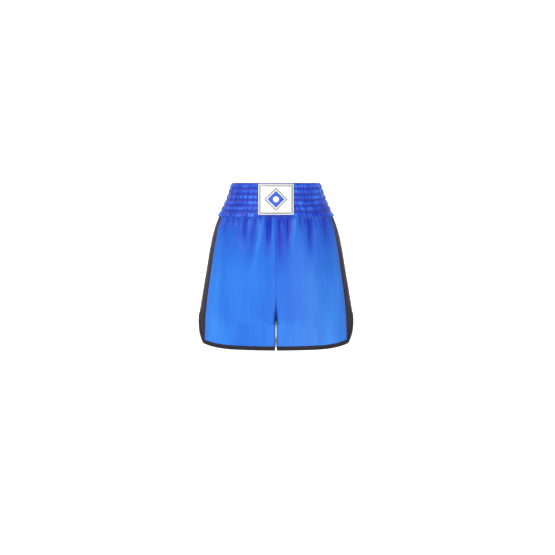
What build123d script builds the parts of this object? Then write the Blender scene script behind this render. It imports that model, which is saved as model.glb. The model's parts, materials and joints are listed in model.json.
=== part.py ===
"""Boxing shorts in the shape they hold when worn: a shirred elastic waistband with a stitched
label, four satin panels, two tapered side bands and a bound hem with a vent on each side.

Millimetres. The origin is the centre of the waist opening, level with the waistband's top edge.
+Z is up, the wearer faces -Y, and the wearer's left is +X. Left and right are the wearer's.
Each leg is a body of its own and swings about an axis along X at hip_height. A panel that
crosses that axis is made as a hip part and a leg part, and the leg part's collar stands inside
the hip part.
"""

import os
from math import acos, asin, cos, hypot, pi, radians, sin, sqrt

from build123d import *

# Driving dimensions
band_height = 81.0  # waistband, top edge to the seam with the panels
channels = 6  # elastic channels in the waistband
hem_drop = 397.0  # waistband's top edge to the lowest point of the hem
crotch_drop = 335.0  # waistband's top edge to the crotch point
vent_drop = 311.0  # waistband's top edge to the top of the side vent
hip_height = -266.0  # height of the axis that a leg swings about
cloth = 1.2  # wall of a panel: satin, its lining and the ripple of its gathers
seam_gap = 0.15  # half the space between two pieces that are sewn together

# The outside of the shorts: height, half width, depth of the front, depth of the back
envelope = [
    (0.0, 106.0, 72.0, 73.0),
    (-40.0, 120.0, 77.0, 80.0),
    (-81.0, 139.0, 83.0, 88.0),
    (-104.0, 148.0, 87.0, 94.0),
    (-130.0, 155.5, 91.0, 99.0),
    (-160.0, 161.5, 94.0, 104.0),
    (-190.0, 166.5, 96.0, 107.0),
    (-215.0, 170.5, 97.0, 108.0),
    (-240.0, 175.0, 97.0, 108.0),
    (-260.0, 178.4, 97.0, 107.8),
    (-280.0, 181.6, 97.0, 107.4),
    (-300.0, 184.5, 97.0, 106.8),
    (-320.0, 186.9, 97.0, 106.0),
    (-345.0, 189.0, 97.0, 105.0),
    (-410.0, 193.0, 97.0, 102.4),
]
round_side = 2.0  # exponent of the section at the waistband: an ellipse
sharp_side = 1.55  # exponent below the hip, where the side narrows to a soft edge
sharp_from = -130.0  # height from which the side is fully narrowed

# Waistband
channel_pitch = band_height / channels
channel_bulge = 1.6  # how far a channel stands out between its two rows of stitches
casing_wall = 1.3  # one layer of shirred satin
casing_slot = 1.6  # room for the elastic between the casing's two layers
elastic_width = 10.4
elastic_thickness = 1.0
thread = 0.8  # diameter of a row of shirring thread
thread_lift = 0.15  # from the groove between two channels to its thread

# Label on the waistband's front
label_width = 83.0
label_height = 73.0
label_top = -2.4
label_thickness = 1.0
label_lift = 0.2  # from the crest of the channels to the back of the label
border_width = 1.2
border_inset = 2.0
emblem_size = 40.0  # point to point of the diamond
emblem_ring = 7.0  # radius of the hole at its middle
embroidery = 0.5  # how far the emblem and the border stand out of the label

# Care label inside the back of the waistband
care_width = 30.0
care_height = 26.0
care_thickness = 0.8
care_top = -75.0
care_clearance = 0.8  # from its back to the deepest point of the waistband's inside

# Side bands
band_half_top = 19.5  # half width where it meets the waistband
band_half_vent = 29.5  # half width level with the top of the vent

# Joint between hip and leg
hip_edge = -240.0  # lower edge of the hip parts
collar_top = -236.0  # upper edge of the leg parts, inside the hip parts
collar_inset = 5.0  # from the envelope to the outside of a leg part at its upper edge
collar_end = -276.0  # height at which a leg part has reached the envelope

# Legs
cleft_top = -240.0  # height at which the cleft between the legs begins
cleft_radius = 40.0  # half width of the cleft
inner_flat = 12.0  # half width of the flat strip down the inside of a leg
splay = 0.03  # how far a leg's inside leans away from the other, per mm below the crotch
leg_middle = 90.0  # x beyond which the hem rises to the vent

# Vent and binding
vent_half = 1.5  # half width of the vent at its top
vent_radius = 119.0  # radius of the flap's curved edge
corner_depth = 29.0  # |y| of the corner where the vent meets the hem
corner_drop = 387.5  # how far that corner is below the waistband's top edge
hem_level_from = 78.0  # |y| beyond which the hem is level
hem_sag = 1.8  # how far the rising part of the hem hangs below its chord
tape_width = 10.0
tape_wall = 0.8  # how far the tape stands out of the panel on each side
tape_fold = 1.6  # from the fold of the tape to the panel's raw edge inside it
tape_clearance = 0.25  # between the tape and the panel inside it
tack_width = 5.0
tack_height = 12.0
tack_thickness = 0.8
tack_lift = 0.3  # from the side band to the back of the tack

# How finely the curves are sampled
CORNER_SHARE = 0.4  # share of a panel's width, as sampled, that is the corner beside the cleft
PANEL_STEPS = 14
BAND_STEPS = 6
SLOPE_STEP = 0.002

FRONT, BACK = -1, 1
FAR = 300.0  # reach of the cutting solids, beyond the shorts on every side


# Sections of the left half at one height


def interpolate(table, z):
    """The rest of a row of table at height z, read between its rows."""
    for upper, lower in zip(table, table[1:]):
        if z >= lower[0]:
            share = (upper[0] - z) / (upper[0] - lower[0])
            return [u + share * (v - u) for u, v in zip(upper[1:], lower[1:])]
    return list(table[-1][1:])


def clamp(value):
    return max(0.0, min(1.0, value))


def band_half(z):
    """Half width of the side band at height z."""
    taper = (band_half_vent - band_half_top) / (vent_drop - band_height)
    return band_half_top + taper * (-band_height - z)


def heading(curve, at):
    """Unit direction of travel of a curve at a parameter."""
    x0, y0 = curve(at - SLOPE_STEP)
    x1, y1 = curve(at + SLOPE_STEP)
    size = hypot(x1 - x0, y1 - y0)
    return (x1 - x0) / size, (y1 - y0) / size


def moved_curve(curve, shares, inset, left, slope_from=-2.0):
    """Points of a curve, moved by inset to the left of its travel, or to the right if left is -1."""
    points = []
    for share in shares:
        x, y = curve(share)
        dx, dy = heading(curve, max(share, slope_from))
        points.append((x - left * dy * inset, y + left * dx * inset))
    return points


class Section:
    """Outline of the left half of a hip or a leg at height z."""

    def __init__(self, z, leg, cleft=True):
        half_width, front, back = interpolate(envelope, z)
        sharp = clamp((-band_height - z) / (-band_height - sharp_from))
        inset = collar_inset * clamp((z - collar_end) / (collar_top - collar_end)) if leg else 0.0
        drop = clamp((cleft_top - z) / (cleft_top + crotch_drop)) if cleft else 1.0
        self.z = z
        self.power = round_side + sharp * (sharp_side - round_side)
        self.half_width = half_width - inset
        self.depth = {FRONT: front - inset, BACK: back - inset}
        self.meet = {k: max(inner_flat, v * sqrt(1.0 - drop * drop)) for k, v in self.depth.items()}
        self.gap = seam_gap + splay * max(0.0, -crotch_drop - z)

    def outer(self, side, angle):
        """Point of the outer curve at an angle from the side line."""
        x = self.half_width * cos(angle)
        return x, side * self.depth[side] * abs(sin(angle)) ** (2.0 / self.power)

    def edge(self, side, y):
        """Angle at which the outer curve has the given |y|."""
        return asin((y / self.depth[side]) ** (self.power / 2))

    def panel(self, side, share, seam):
        """Point of a panel: share 0 is the centre seam, share 1 the seam with the side band."""
        if share > CORNER_SHARE:
            first = acos((self.gap + cleft_radius) / self.half_width)
            last = self.edge(side, band_half(self.z) + seam)
            part = (share - CORNER_SHARE) / (1.0 - CORNER_SHARE)
            return self.outer(side, first + part * (last - first))
        turn = share / CORNER_SHARE * pi / 2
        x = self.gap + cleft_radius * (1.0 - cos(turn))
        depth = self.depth[side] * (1.0 - (x / self.half_width) ** 2) ** (1.0 / self.power)
        return x, side * (self.meet[side] + (depth - self.meet[side]) * sin(turn))

    def panel_curve(self, side, inset, seam=seam_gap):
        """Points of a panel from its centre seam to its side seam, moved in by inset."""

        def curve(share):
            return self.panel(side, share, seam)

        shares = [i / PANEL_STEPS for i in range(PANEL_STEPS + 1)]
        lowest = 0.055 * CORNER_SHARE
        return moved_curve(curve, shares, inset, -side, lowest)

    def band_curve(self, inset, seam=seam_gap):
        """Points of the side band from its front seam to its back seam, moved in by inset."""

        def curve(share):
            side = BACK if share > 0 else FRONT
            return self.outer(side, abs(share) * self.edge(side, band_half(self.z) - seam))

        shares = [2 * i / BAND_STEPS - 1 for i in range(BAND_STEPS + 1)]
        return moved_curve(curve, shares, inset, 1)


def face_at(z, edges):
    return Plane.XY.offset(z) * make_face(edges)


def strip(z, outer, inner):
    """Face between an outer row of points and an inner one."""
    ends = [Line(outer[0], inner[0]), Line(outer[-1], inner[-1])]
    return face_at(z, [Spline(*outer), Spline(*inner)] + ends)


def panel_strip(z, side, leg):
    """Section of a panel above the crotch."""
    section = Section(z, leg)
    return strip(z, section.panel_curve(side, 0.0), section.panel_curve(side, cloth))


def legged_strip(z, side):
    """Section of a panel below the crotch, where it turns in along the inside of the leg."""
    section = Section(z, leg=True)
    outer, inner = section.panel_curve(side, 0.0), section.panel_curve(side, cloth)
    foot_outer = (outer[0][0], side * seam_gap)
    foot_inner = (inner[0][0], side * seam_gap)
    lines = [
        Line(outer[-1], inner[-1]),
        Line(inner[0], foot_inner),
        Line(foot_inner, foot_outer),
        Line(foot_outer, outer[0]),
    ]
    return face_at(z, [Spline(*outer), Spline(*inner)] + lines)


def band_strip(z, leg):
    """Section of the side band."""
    section = Section(z, leg)
    return strip(z, section.band_curve(0.0), section.band_curve(cloth))


def tube_section(z, inset):
    """Closed section of the leg below its cleft, moved in by inset."""
    section = Section(z, leg=True, cleft=False)
    front = section.panel_curve(FRONT, inset, 0.0)
    back = section.panel_curve(BACK, inset, 0.0)
    band = [front[-1]] + section.band_curve(inset, 0.0)[1:-1] + [back[-1]]
    edges = [Spline(*front), Spline(*band), Spline(*back), Line(front[0], back[0])]
    return face_at(z, edges)


# Panels, side bands and the leg's tube


def hip_heights():
    rows = [row[0] for row in envelope if hip_edge < row[0] < -band_height]
    return [-band_height - seam_gap] + rows + [hip_edge]


def leg_heights():
    """Heights of a leg's sections above the crotch, closer together as the cleft deepens."""
    turns = [40, 52, 62, 71, 80]
    cleft = [cleft_top - (crotch_drop + cleft_top) * sin(radians(turn)) for turn in turns]
    return [collar_top, -250.0, collar_end] + cleft + [-crotch_drop]


below_crotch = [-crotch_drop, -345.0, -hem_drop - 8.0]


def leg_panel(side):
    """A leg panel before its hem is cut."""
    upper = loft([panel_strip(z, side, leg=True) for z in leg_heights()])
    lower = loft([legged_strip(z, side) for z in below_crotch], ruled=True)
    return upper + lower


def leg_band():
    """A leg's side band before its hem and vent are cut."""
    heights = [z for z in leg_heights() if z > -325.0] + [-crotch_drop]
    upper = loft([band_strip(z, leg=True) for z in heights])
    lower = loft([band_strip(z, leg=True) for z in below_crotch], ruled=True)
    return upper + lower


def tube(inset):
    """Solid leg from the top of the vent to past the hem, moved in by inset."""
    heights = [-285.0, -300.0, -320.0] + below_crotch
    return loft([tube_section(z, inset) for z in heights], ruled=True)


# Cutting solids


def block(x, y, z):
    """A box given by its three (low, high) pairs."""
    size = [high - low for low, high in (x, y, z)]
    middle = [(high + low) / 2 for low, high in (x, y, z)]
    return Pos(*middle) * Box(*size)


def below_hem(grow):
    """The space under the hem and in the vent, grown by grow into the cloth."""
    corner = (-corner_depth - grow, -corner_drop + grow)
    level = (-hem_level_from, -hem_drop + grow)
    bend = ((corner[0] + level[0]) / 2, (corner[1] + level[1]) / 2 - hem_sag)
    top = (-vent_half - grow, -vent_drop)
    chord = hypot(corner[0] - top[0], corner[1] - top[1])
    sagitta = chord * chord / (8.0 * vent_radius)
    flap = ((corner[0] + top[0]) / 2 + sagitta, (corner[1] + top[1]) / 2)
    half = [
        Line((-FAR, -2 * FAR), (-FAR, level[1])),
        Line((-FAR, level[1]), level),
        ThreePointArc(level, bend, corner),
        ThreePointArc(corner, flap, top),
    ]
    cap = ThreePointArc(top, (0.0, -vent_drop + vent_half + grow), (-top[0], top[1]))
    mirrored = [edge.mirror(Plane.YZ) for edge in half]
    floor = Line((-FAR, -2 * FAR), (FAR, -2 * FAR))
    outline = make_face(half + [cap] + mirrored + [floor])
    outer = extrude(Plane.YZ.offset(leg_middle) * outline, amount=FAR)
    inner = block((-2.0, leg_middle), (-FAR, FAR), (-2 * FAR, -hem_drop + grow))
    return outer + inner


# Waistband


def band_arc(z, grow, first, last, steps):
    """The waistband's section, grown by grow, between two angles in degrees from +X."""
    half_width, front, back = interpolate(envelope, z)

    def curve(angle):
        depth = (back if angle > 0 else front) + grow
        return (half_width + grow) * cos(angle), depth * sin(angle)

    angles = [radians(first + (last - first) * i / steps) for i in range(steps + 1)]
    return moved_curve(curve, angles, 0.0, 1)


def half_ring(z, outer_grow, inner_grow):
    """Face of the +X half of a ring between two growths of the waistband's section."""
    return strip(z, band_arc(z, outer_grow, -90, 90, 12), band_arc(z, inner_grow, -90, 90, 12))


def ring(heights, outer_grow, inner_grow, bulge=0.0):
    """Closed ring through the given heights, whose outside stands out by bulge at each channel."""
    sections = []
    for z in heights:
        wave = bulge * sin(pi * z / channel_pitch) ** 2
        sections.append(half_ring(z, outer_grow + wave, inner_grow))
    half = loft(sections, ruled=True)
    return half + half.mirror(Plane.YZ)


def casing():
    """The shirred casing: one strip folded over at the top, open at the bottom between its layers."""
    fold = -casing_wall
    slot_inner = -casing_wall - casing_slot
    inside = slot_inner - casing_wall
    rows = [-channel_pitch * i / 4 for i in range(1, 4 * channels + 1)]
    outer_layer = ring([fold] + rows, 0.0, -casing_wall, channel_bulge)
    inner_layer = ring([fold, -40.0, -band_height], slot_inner, inside)
    return outer_layer + inner_layer + ring([0.0, fold], 0.0, inside, channel_bulge)


def elastic(index):
    """The elastic in channel index, midway between the casing's layers."""
    middle = -channel_pitch * (index + 0.5)
    top, bottom = middle + elastic_width / 2, middle - elastic_width / 2
    if index == 0:
        top -= casing_wall / 2
    grow = -casing_wall - (casing_slot - elastic_thickness) / 2
    return ring([top, bottom], grow, grow - elastic_thickness)


def shirring_row(index):
    """The row of shirring thread under channel index."""
    middle = -channel_pitch * (index + 1)
    heights = [middle + thread / 2, middle - thread / 2]
    return ring(heights, thread_lift + thread, thread_lift)


# Label


def label_layer(lift, thickness):
    """A layer over the front of the waistband, lift above the crest of its channels."""
    base = channel_bulge + lift
    sections = []
    for z in (0.0, -40.0, -band_height):
        outer = band_arc(z, base + thickness, -125, -55, 8)
        inner = band_arc(z, base, -125, -55, 8)
        sections.append(strip(z, outer, inner))
    return loft(sections, ruled=True)


def label_rectangle(inset):
    """The label's outline in the front view, moved in by inset."""
    middle = label_top - label_height / 2
    return Pos(0, middle, 0) * Rectangle(label_width - 2 * inset, label_height - 2 * inset)


def label_diamond():
    """A plain diamond with a round hole at its middle."""
    half = emblem_size / 2
    corners = [(0, half), (half, 0), (0, -half), (-half, 0)]
    diamond = make_face(Polyline(*corners, close=True)) - Circle(emblem_ring)
    return Pos(0, label_top - label_height / 2, 0) * diamond


def through_front(face):
    """A face of the front view, pushed through the front of the waistband."""
    return extrude(Plane.XZ.offset(20.0) * face, amount=FAR)


# Pieces


def waistband_pieces():
    surface = label_lift + label_thickness
    border = label_rectangle(border_inset) - label_rectangle(border_inset + border_width)
    inside = interpolate(envelope, care_top)[2] - 2 * casing_wall - casing_slot
    care_y = inside - care_clearance - care_thickness / 2
    pieces = {
        "waistband_casing": casing(),
        "label_patch": label_layer(label_lift, label_thickness) & through_front(label_rectangle(0)),
        "label_border": label_layer(surface, embroidery) & through_front(border),
        "label_emblem": label_layer(surface, embroidery) & through_front(label_diamond()),
        "care_label": Pos(0, care_y, care_top - care_height / 2)
        * Box(care_width, care_thickness, care_height),
    }
    for i in range(channels):
        pieces[f"elastic_{i + 1}"] = elastic(i)
    for i in range(channels - 1):
        pieces[f"shirring_row_{i + 1}"] = shirring_row(i)
    return pieces


def hip_pieces():
    """The left side's hip parts."""
    return {
        "front_panel_hip": loft([panel_strip(z, FRONT, leg=False) for z in hip_heights()]),
        "back_panel_hip": loft([panel_strip(z, BACK, leg=False) for z in hip_heights()]),
        "side_band_hip": loft([band_strip(z, leg=False) for z in hip_heights()]),
    }


def vent_tack():
    """The bar of stitches that closes the top of the vent."""
    middle = -vent_drop + tape_width + vent_half + 1.0 + tack_height / 2
    layer = tube(-tack_thickness - tack_lift) - tube(-tack_lift)
    return layer & block(
        (leg_middle, FAR),
        (-tack_width / 2, tack_width / 2),
        (middle - tack_height / 2, middle + tack_height / 2),
    )


def hem_binding():
    """The tape folded over the hem and both edges of the vent."""
    layer = tube(-tape_wall) - tube(cloth + tape_wall)
    pocket = tube(-tape_clearance) - tube(cloth + tape_clearance)
    pocket -= below_hem(tape_fold - tape_clearance)
    return (layer & below_hem(tape_width)) - below_hem(0.0) - pocket


def leg_pieces():
    """The left leg's panels, side band, hem binding and vent tack."""
    cut = below_hem(tape_fold)
    return {
        "front_panel_leg": leg_panel(FRONT) - cut,
        "back_panel_leg": leg_panel(BACK) - cut,
        "side_band_leg": leg_band() - cut,
        "hem_binding": hem_binding(),
        "vent_tack": vent_tack(),
    }


def main():
    os.makedirs("parts", exist_ok=True)
    pieces = waistband_pieces()
    for name, shape in {**hip_pieces(), **leg_pieces()}.items():
        pieces[f"left_{name}"] = shape
        pieces[f"right_{name}"] = shape.mirror(Plane.YZ)
    for name, shape in pieces.items():
        export_step(shape, f"parts/{name}.step")


main()
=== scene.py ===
"""Satin boxing shorts in their worn shape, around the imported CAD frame.

Lengths are millimetres until a mesh is made, which is in metres. The wearer faces -Y and the
wearer's left is +X. Every surface of a leg is made for the left side and mirrored for the right,
with folds of its own.
"""

import json
import math

import bmesh
import bpy
import numpy as np
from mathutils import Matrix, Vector

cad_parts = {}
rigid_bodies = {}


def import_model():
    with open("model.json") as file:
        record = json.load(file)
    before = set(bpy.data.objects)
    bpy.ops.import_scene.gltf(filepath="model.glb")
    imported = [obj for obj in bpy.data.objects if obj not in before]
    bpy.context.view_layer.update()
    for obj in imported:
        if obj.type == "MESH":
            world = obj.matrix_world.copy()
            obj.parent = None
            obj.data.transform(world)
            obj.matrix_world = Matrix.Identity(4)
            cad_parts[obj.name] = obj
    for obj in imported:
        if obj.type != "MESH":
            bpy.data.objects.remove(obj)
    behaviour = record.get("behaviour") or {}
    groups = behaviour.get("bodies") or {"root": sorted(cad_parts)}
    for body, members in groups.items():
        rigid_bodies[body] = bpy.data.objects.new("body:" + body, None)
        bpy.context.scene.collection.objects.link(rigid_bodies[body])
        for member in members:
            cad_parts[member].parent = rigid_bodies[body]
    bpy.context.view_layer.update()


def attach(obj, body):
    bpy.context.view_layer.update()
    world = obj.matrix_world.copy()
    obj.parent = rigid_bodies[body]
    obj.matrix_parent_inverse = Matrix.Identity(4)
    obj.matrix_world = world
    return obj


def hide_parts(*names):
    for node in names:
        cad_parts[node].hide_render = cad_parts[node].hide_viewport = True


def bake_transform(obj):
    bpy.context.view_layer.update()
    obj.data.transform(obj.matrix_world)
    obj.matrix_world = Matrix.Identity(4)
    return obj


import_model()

MM = 0.001
FRONT, BACK = -1, 1
LEFT, RIGHT = 1, -1

# Shape of the shorts: the CAD model's, but for the rounding where the legs meet
BAND_HEIGHT = 81.0
WAIST = -BAND_HEIGHT
CHANNELS = 6
CHANNEL_PITCH = BAND_HEIGHT / CHANNELS
CROTCH = -335.0
CLEFT_TOP = -240.0
VENT_TOP = -311.0
HEM = -397.0
DROP = WAIST - HEM
CORNER_DEPTH, CORNER_Z = 29.0, -387.5  # |y| and height where the hem turns up into the vent
HEM_LEVEL_FROM = 78.0  # |y| beyond which the hem is level
INNER_FLAT = 12.0  # width of the flat on each side of the inseam
LEG_GAP = 0.85  # half the gap between the legs at the hem
CLEFT_RADII = (17.0, 9.0, 3.0, 2.4)  # rounding from a leg's face into the gap, at the drops below
CLEFT_RADII_AT = (240.0, 312.0, 342.0, 397.0)
SQUARING, SQUARING_DROP = 0.45, 49.0  # the outline leaves the ellipse by this, over this drop
# Height, half width, depth in front and depth behind
ENVELOPE = np.array([
    (20.0, 100.0, 69.5, 70.0),
    (0.0, 106.0, 72.0, 73.0),
    (-40.0, 120.0, 77.0, 80.0),
    (-81.0, 139.0, 83.0, 88.0),
    (-104.0, 148.0, 87.0, 94.0),
    (-130.0, 155.5, 91.0, 99.0),
    (-160.0, 161.5, 94.0, 104.0),
    (-190.0, 166.5, 96.0, 107.0),
    (-215.0, 170.5, 97.0, 108.0),
    (-240.0, 175.0, 97.0, 108.0),
    (-260.0, 178.4, 97.0, 107.8),
    (-280.0, 181.6, 97.0, 107.4),
    (-300.0, 184.5, 97.0, 106.8),
    (-320.0, 186.9, 97.0, 106.0),
    (-345.0, 189.0, 97.0, 105.0),
    (-430.0, 194.2, 97.0, 102.0),
])

SMOOTH_MM = 9  # the profile is rounded over this much on each side


def smooth_profile():
    """The envelope at every millimetre, rounded."""
    heights = np.arange(20.0, -430.5, -1.0)
    columns = []
    for k in (1, 2, 3):
        values = np.interp(-heights, -ENVELOPE[:, 0], ENVELOPE[:, k])
        padded = np.pad(values, SMOOTH_MM, mode="reflect", reflect_type="odd")
        window = np.hanning(2 * SMOOTH_MM + 1)
        columns.append(np.convolve(padded, window / window.sum(), mode="valid"))
    return heights, columns


PROFILE_Z, PROFILE = smooth_profile()


def profile(z):
    """Half width, front depth and back depth at height z."""
    return [np.interp(-np.asarray(z, float), -PROFILE_Z, column) for column in PROFILE]


def smoothstep(t):
    t = np.clip(t, 0.0, 1.0)
    return t * t * (3.0 - 2.0 * t)


def unit(vectors):
    return vectors / np.linalg.norm(vectors, axis=-1, keepdims=True)


# The worn surface below the waistband, as a table over height and share of the quarter's girth:
# share 0 is the side line and share 1 the centre seam

TABLE_TOP, TABLE_BOTTOM = -70.0, -410.0
TABLE_SHARES = 420


def cleft_depth(depth, z):
    """How far from the middle plane the two halves meet at the centre."""
    drop = np.clip((CLEFT_TOP - z) / (CLEFT_TOP - CROTCH), 0.0, 1.0)
    return max(INNER_FLAT, depth * math.sqrt(1.0 - drop**4))


def leg_gap(z):
    """Half the gap between the legs at height z."""
    return LEG_GAP * smoothstep((CROTCH - np.asarray(z, float)) / 45.0)


def round_side_line(x):
    """Evens out the sharp bend of the outline at the side line."""
    reach = 11
    window = np.hanning(2 * reach + 3)[1:-1]
    smooth = np.convolve(np.concatenate([x[reach:0:-1], x]), window / window.sum(), mode="valid")
    keep = smoothstep((np.arange(len(smooth)) - (reach + 1)) / 16.0)
    smooth += (x[0] - 0.6 - smooth[0]) * (1.0 - keep)
    x = x.copy()
    x[: len(smooth)] = smooth * (1 - keep) + x[: len(smooth)] * keep
    return x


def quarter(z, side):
    """Points from the side line to the centre seam at height z, and their total length."""
    half_width, front, back = (float(v) for v in profile(z))
    depth = front if side == FRONT else back
    power = 2.0 - SQUARING * float(np.clip((WAIST - z) / SQUARING_DROP, 0.0, 1.0))
    gap = float(leg_gap(z))
    radius = float(np.interp(-z, CLEFT_RADII_AT, CLEFT_RADII))
    meet = cleft_depth(depth, z)
    turn_start = math.acos((gap + radius) / half_width)
    angles = turn_start * np.linspace(0.0, 1.0, 260) ** 1.25
    outer_x = half_width * np.cos(angles)
    outer_y = depth * np.sin(angles) ** (2.0 / power)
    turns = np.linspace(math.pi / 2, 0.0, 90)[1:]
    corner_x = gap + radius * (1.0 - np.cos(turns))
    full = depth * (1.0 - (corner_x / half_width) ** 2) ** (1.0 / power)
    corner_y = meet + (full - meet) * np.sin(turns)
    x, y = np.append(outer_x, corner_x), np.append(outer_y, corner_y)
    length = np.append(0.0, np.cumsum(np.hypot(np.diff(x), np.diff(y))))
    shares = np.linspace(0.0, length[-1], TABLE_SHARES)
    x, y = np.interp(shares, length, x), np.interp(shares, length, y)
    return round_side_line(x), y, length[-1]


def make_tables():
    """For each side the x, |y| and girth of every quarter, a millimetre apart."""
    heights = np.arange(TABLE_TOP, TABLE_BOTTOM - 0.5, -1.0)
    tables = {}
    for side in (FRONT, BACK):
        rows = [quarter(z, side) for z in heights]
        tables[side] = tuple(np.array(column) for column in zip(*rows))
    return tables


TABLES = make_tables()


def girth(side, z):
    """Length of the quarter from the side line to the centre seam."""
    rows = TABLES[side][2]
    return np.interp(TABLE_TOP - np.asarray(z, float), np.arange(len(rows)), rows)


def look_up(side, share, z):
    """x and y on the outer surface, between the table's rows and columns."""
    xs, ys, _ = TABLES[side]
    row = np.clip(TABLE_TOP - z, 0.0, xs.shape[0] - 1.001)
    column = np.clip(share, 0.0, 1.0) * (TABLE_SHARES - 1.001)
    r, c = row.astype(int), column.astype(int)
    fr, fc = row - r, column - c

    def blend(table):
        top = table[r, c] * (1 - fc) + table[r, c + 1] * fc
        low = table[r + 1, c] * (1 - fc) + table[r + 1, c + 1] * fc
        return top * (1 - fr) + low * fr

    return blend(xs), side * blend(ys)


def surface(q, z):
    """Point of the left half: q is the girth from the side line, negative in front."""
    q, z = np.broadcast_arrays(np.asarray(q, float), np.asarray(z, float))
    x, y = np.empty(q.shape), np.empty(q.shape)
    for side in (FRONT, BACK):
        here = (q < 0) if side == FRONT else (q >= 0)
        length = girth(side, z[here])
        share = np.abs(q[here]) / length
        beyond = np.maximum(share - 1.0, 0.0)
        px, py = look_up(side, 1.0 - np.abs(1.0 - share), z[here])
        over = share > 1.0
        on_flat = over & (z[here] < CROTCH)
        x[here] = np.where(on_flat, leg_gap(z[here]), np.where(over, -px, px))
        y[here] = np.where(on_flat, side * (INNER_FLAT - beyond * length), py)
    return np.stack([x, y, z], axis=-1)


def surface_normal(q, z):
    """Outward direction of the undisturbed surface."""
    step = 1.2
    across = surface(q + step, z) - surface(q - step, z)
    up = surface(q, z + step) - surface(q, z - step)
    return unit(np.cross(across, up))


def q_at_depth(side, y, z):
    """The q at which the outer surface has the given |y| at height z."""
    _, ys, lengths = TABLES[side]
    y, z = np.broadcast_arrays(np.asarray(y, float), np.asarray(z, float))
    out = np.empty(y.shape)
    for i in np.ndindex(y.shape):
        row = int(round(min(max(TABLE_TOP - z[i], 0), len(lengths) - 1)))
        widest = int(np.argmax(ys[row])) + 1
        share = np.interp(y[i], ys[row][:widest], np.linspace(0, 1, TABLE_SHARES)[:widest])
        out[i] = side * share * lengths[row]
    return out


# Folds. A fold is (share from the centre seam at the waist, share at its end, height of its end,
# lift in mm, half width at the waist, half width at its end). Shares are negative on the right.

FRONT_FOLDS = [
    (-0.88, -0.87, -112, -1.0, 3.5, 6.0),
    (-0.79, -0.78, -122, -1.3, 3.5, 7.0),
    (-0.70, -0.71, -134, -1.7, 4.0, 8.0),
    (-0.60, -0.60, -118, -1.3, 3.5, 6.0),
    (-0.52, -0.50, -142, -1.7, 4.0, 9.0),
    (-0.42, -0.41, -172, -2.9, 5.0, 11.0),
    (-0.335, -0.33, -118, -1.3, 3.5, 6.0),
    (-0.275, -0.31, -215, -2.2, 4.5, 13.0),
    (-0.175, -0.275, -225, 2.2, 4.0, 8.0),
    (-0.195, -0.20, -128, -1.3, 3.0, 5.0),
    (-0.097, -0.092, -182, -3.8, 5.0, 8.0),
    (-0.035, -0.045, -215, 2.3, 5.0, 9.0),
    (0.060, 0.030, -225, -2.4, 5.0, 9.0),
    (0.115, 0.120, -120, -1.1, 3.0, 5.0),
    (0.175, 0.140, -168, -3.3, 5.5, 7.0),
    (0.275, 0.160, -178, 2.0, 4.0, 8.0),
    (0.330, 0.330, -120, -1.2, 3.5, 6.0),
    (0.395, 0.385, -110, -1.0, 3.0, 5.0),
    (0.460, 0.425, -188, -3.3, 6.5, 12.0),
    (0.545, 0.540, -118, -1.2, 3.5, 6.0),
    (0.615, 0.610, -128, -1.3, 3.5, 7.0),
    (0.690, 0.650, -160, -2.2, 5.5, 10.0),
    (0.780, 0.770, -120, -1.3, 3.5, 7.0),
    (0.870, 0.860, -112, -1.0, 3.5, 6.0),
]


def random_folds(seed, count, depth):
    """Gathers spread unevenly along a seam, a few of them long."""
    rng = np.random.default_rng(seed)
    folds = []
    for i in range(count):
        share = -0.93 + 1.86 * (i + 0.5 + rng.uniform(-0.32, 0.32)) / count
        long = rng.random() < 0.34
        end = rng.uniform(-225, -160) if long else rng.uniform(-138, -108)
        lift = -depth * (rng.uniform(1.3, 1.8) if long else rng.uniform(0.5, 0.8))
        width = rng.uniform(4.5, 6.5) if long else rng.uniform(3.0, 4.2)
        folds.append((share, share + rng.uniform(-0.04, 0.04), end, lift, width, width * 2.1))
    return folds


def stitch_puckers(seed):
    """Short puckers right under the seam."""
    rng = np.random.default_rng(seed)
    folds = []
    share = -0.97
    while share < 0.97:
        height = -rng.uniform(0.6, 1.5)
        end, near, far = rng.uniform(-116, -93), rng.uniform(1.5, 2.4), rng.uniform(2.4, 4.0)
        folds.append((share, share, end, height, near, far))
        share += rng.uniform(0.036, 0.070)
    return folds


FOLDS = {
    FRONT: FRONT_FOLDS + stitch_puckers(3),
    BACK: random_folds(11, 22, 2.0) + stitch_puckers(5),
}


def broad_waves(side, share, z):
    """Soft, wide waves of hanging satin."""
    rng = np.random.default_rng(21 if side == FRONT else 22)
    total = np.zeros(share.shape)
    for cycles in (1.5, 2.6, 3.7, 5.3):
        phase, lean = rng.uniform(0, 2 * math.pi), rng.uniform(-0.9, 0.9)
        turn = phase + lean * 2.2 * ((WAIST - z) / DROP)
        total += np.sin(2 * math.pi * cycles * 0.5 * share + turn) / cycles
    return total


FOLD_GAIN = 1.6


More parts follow.
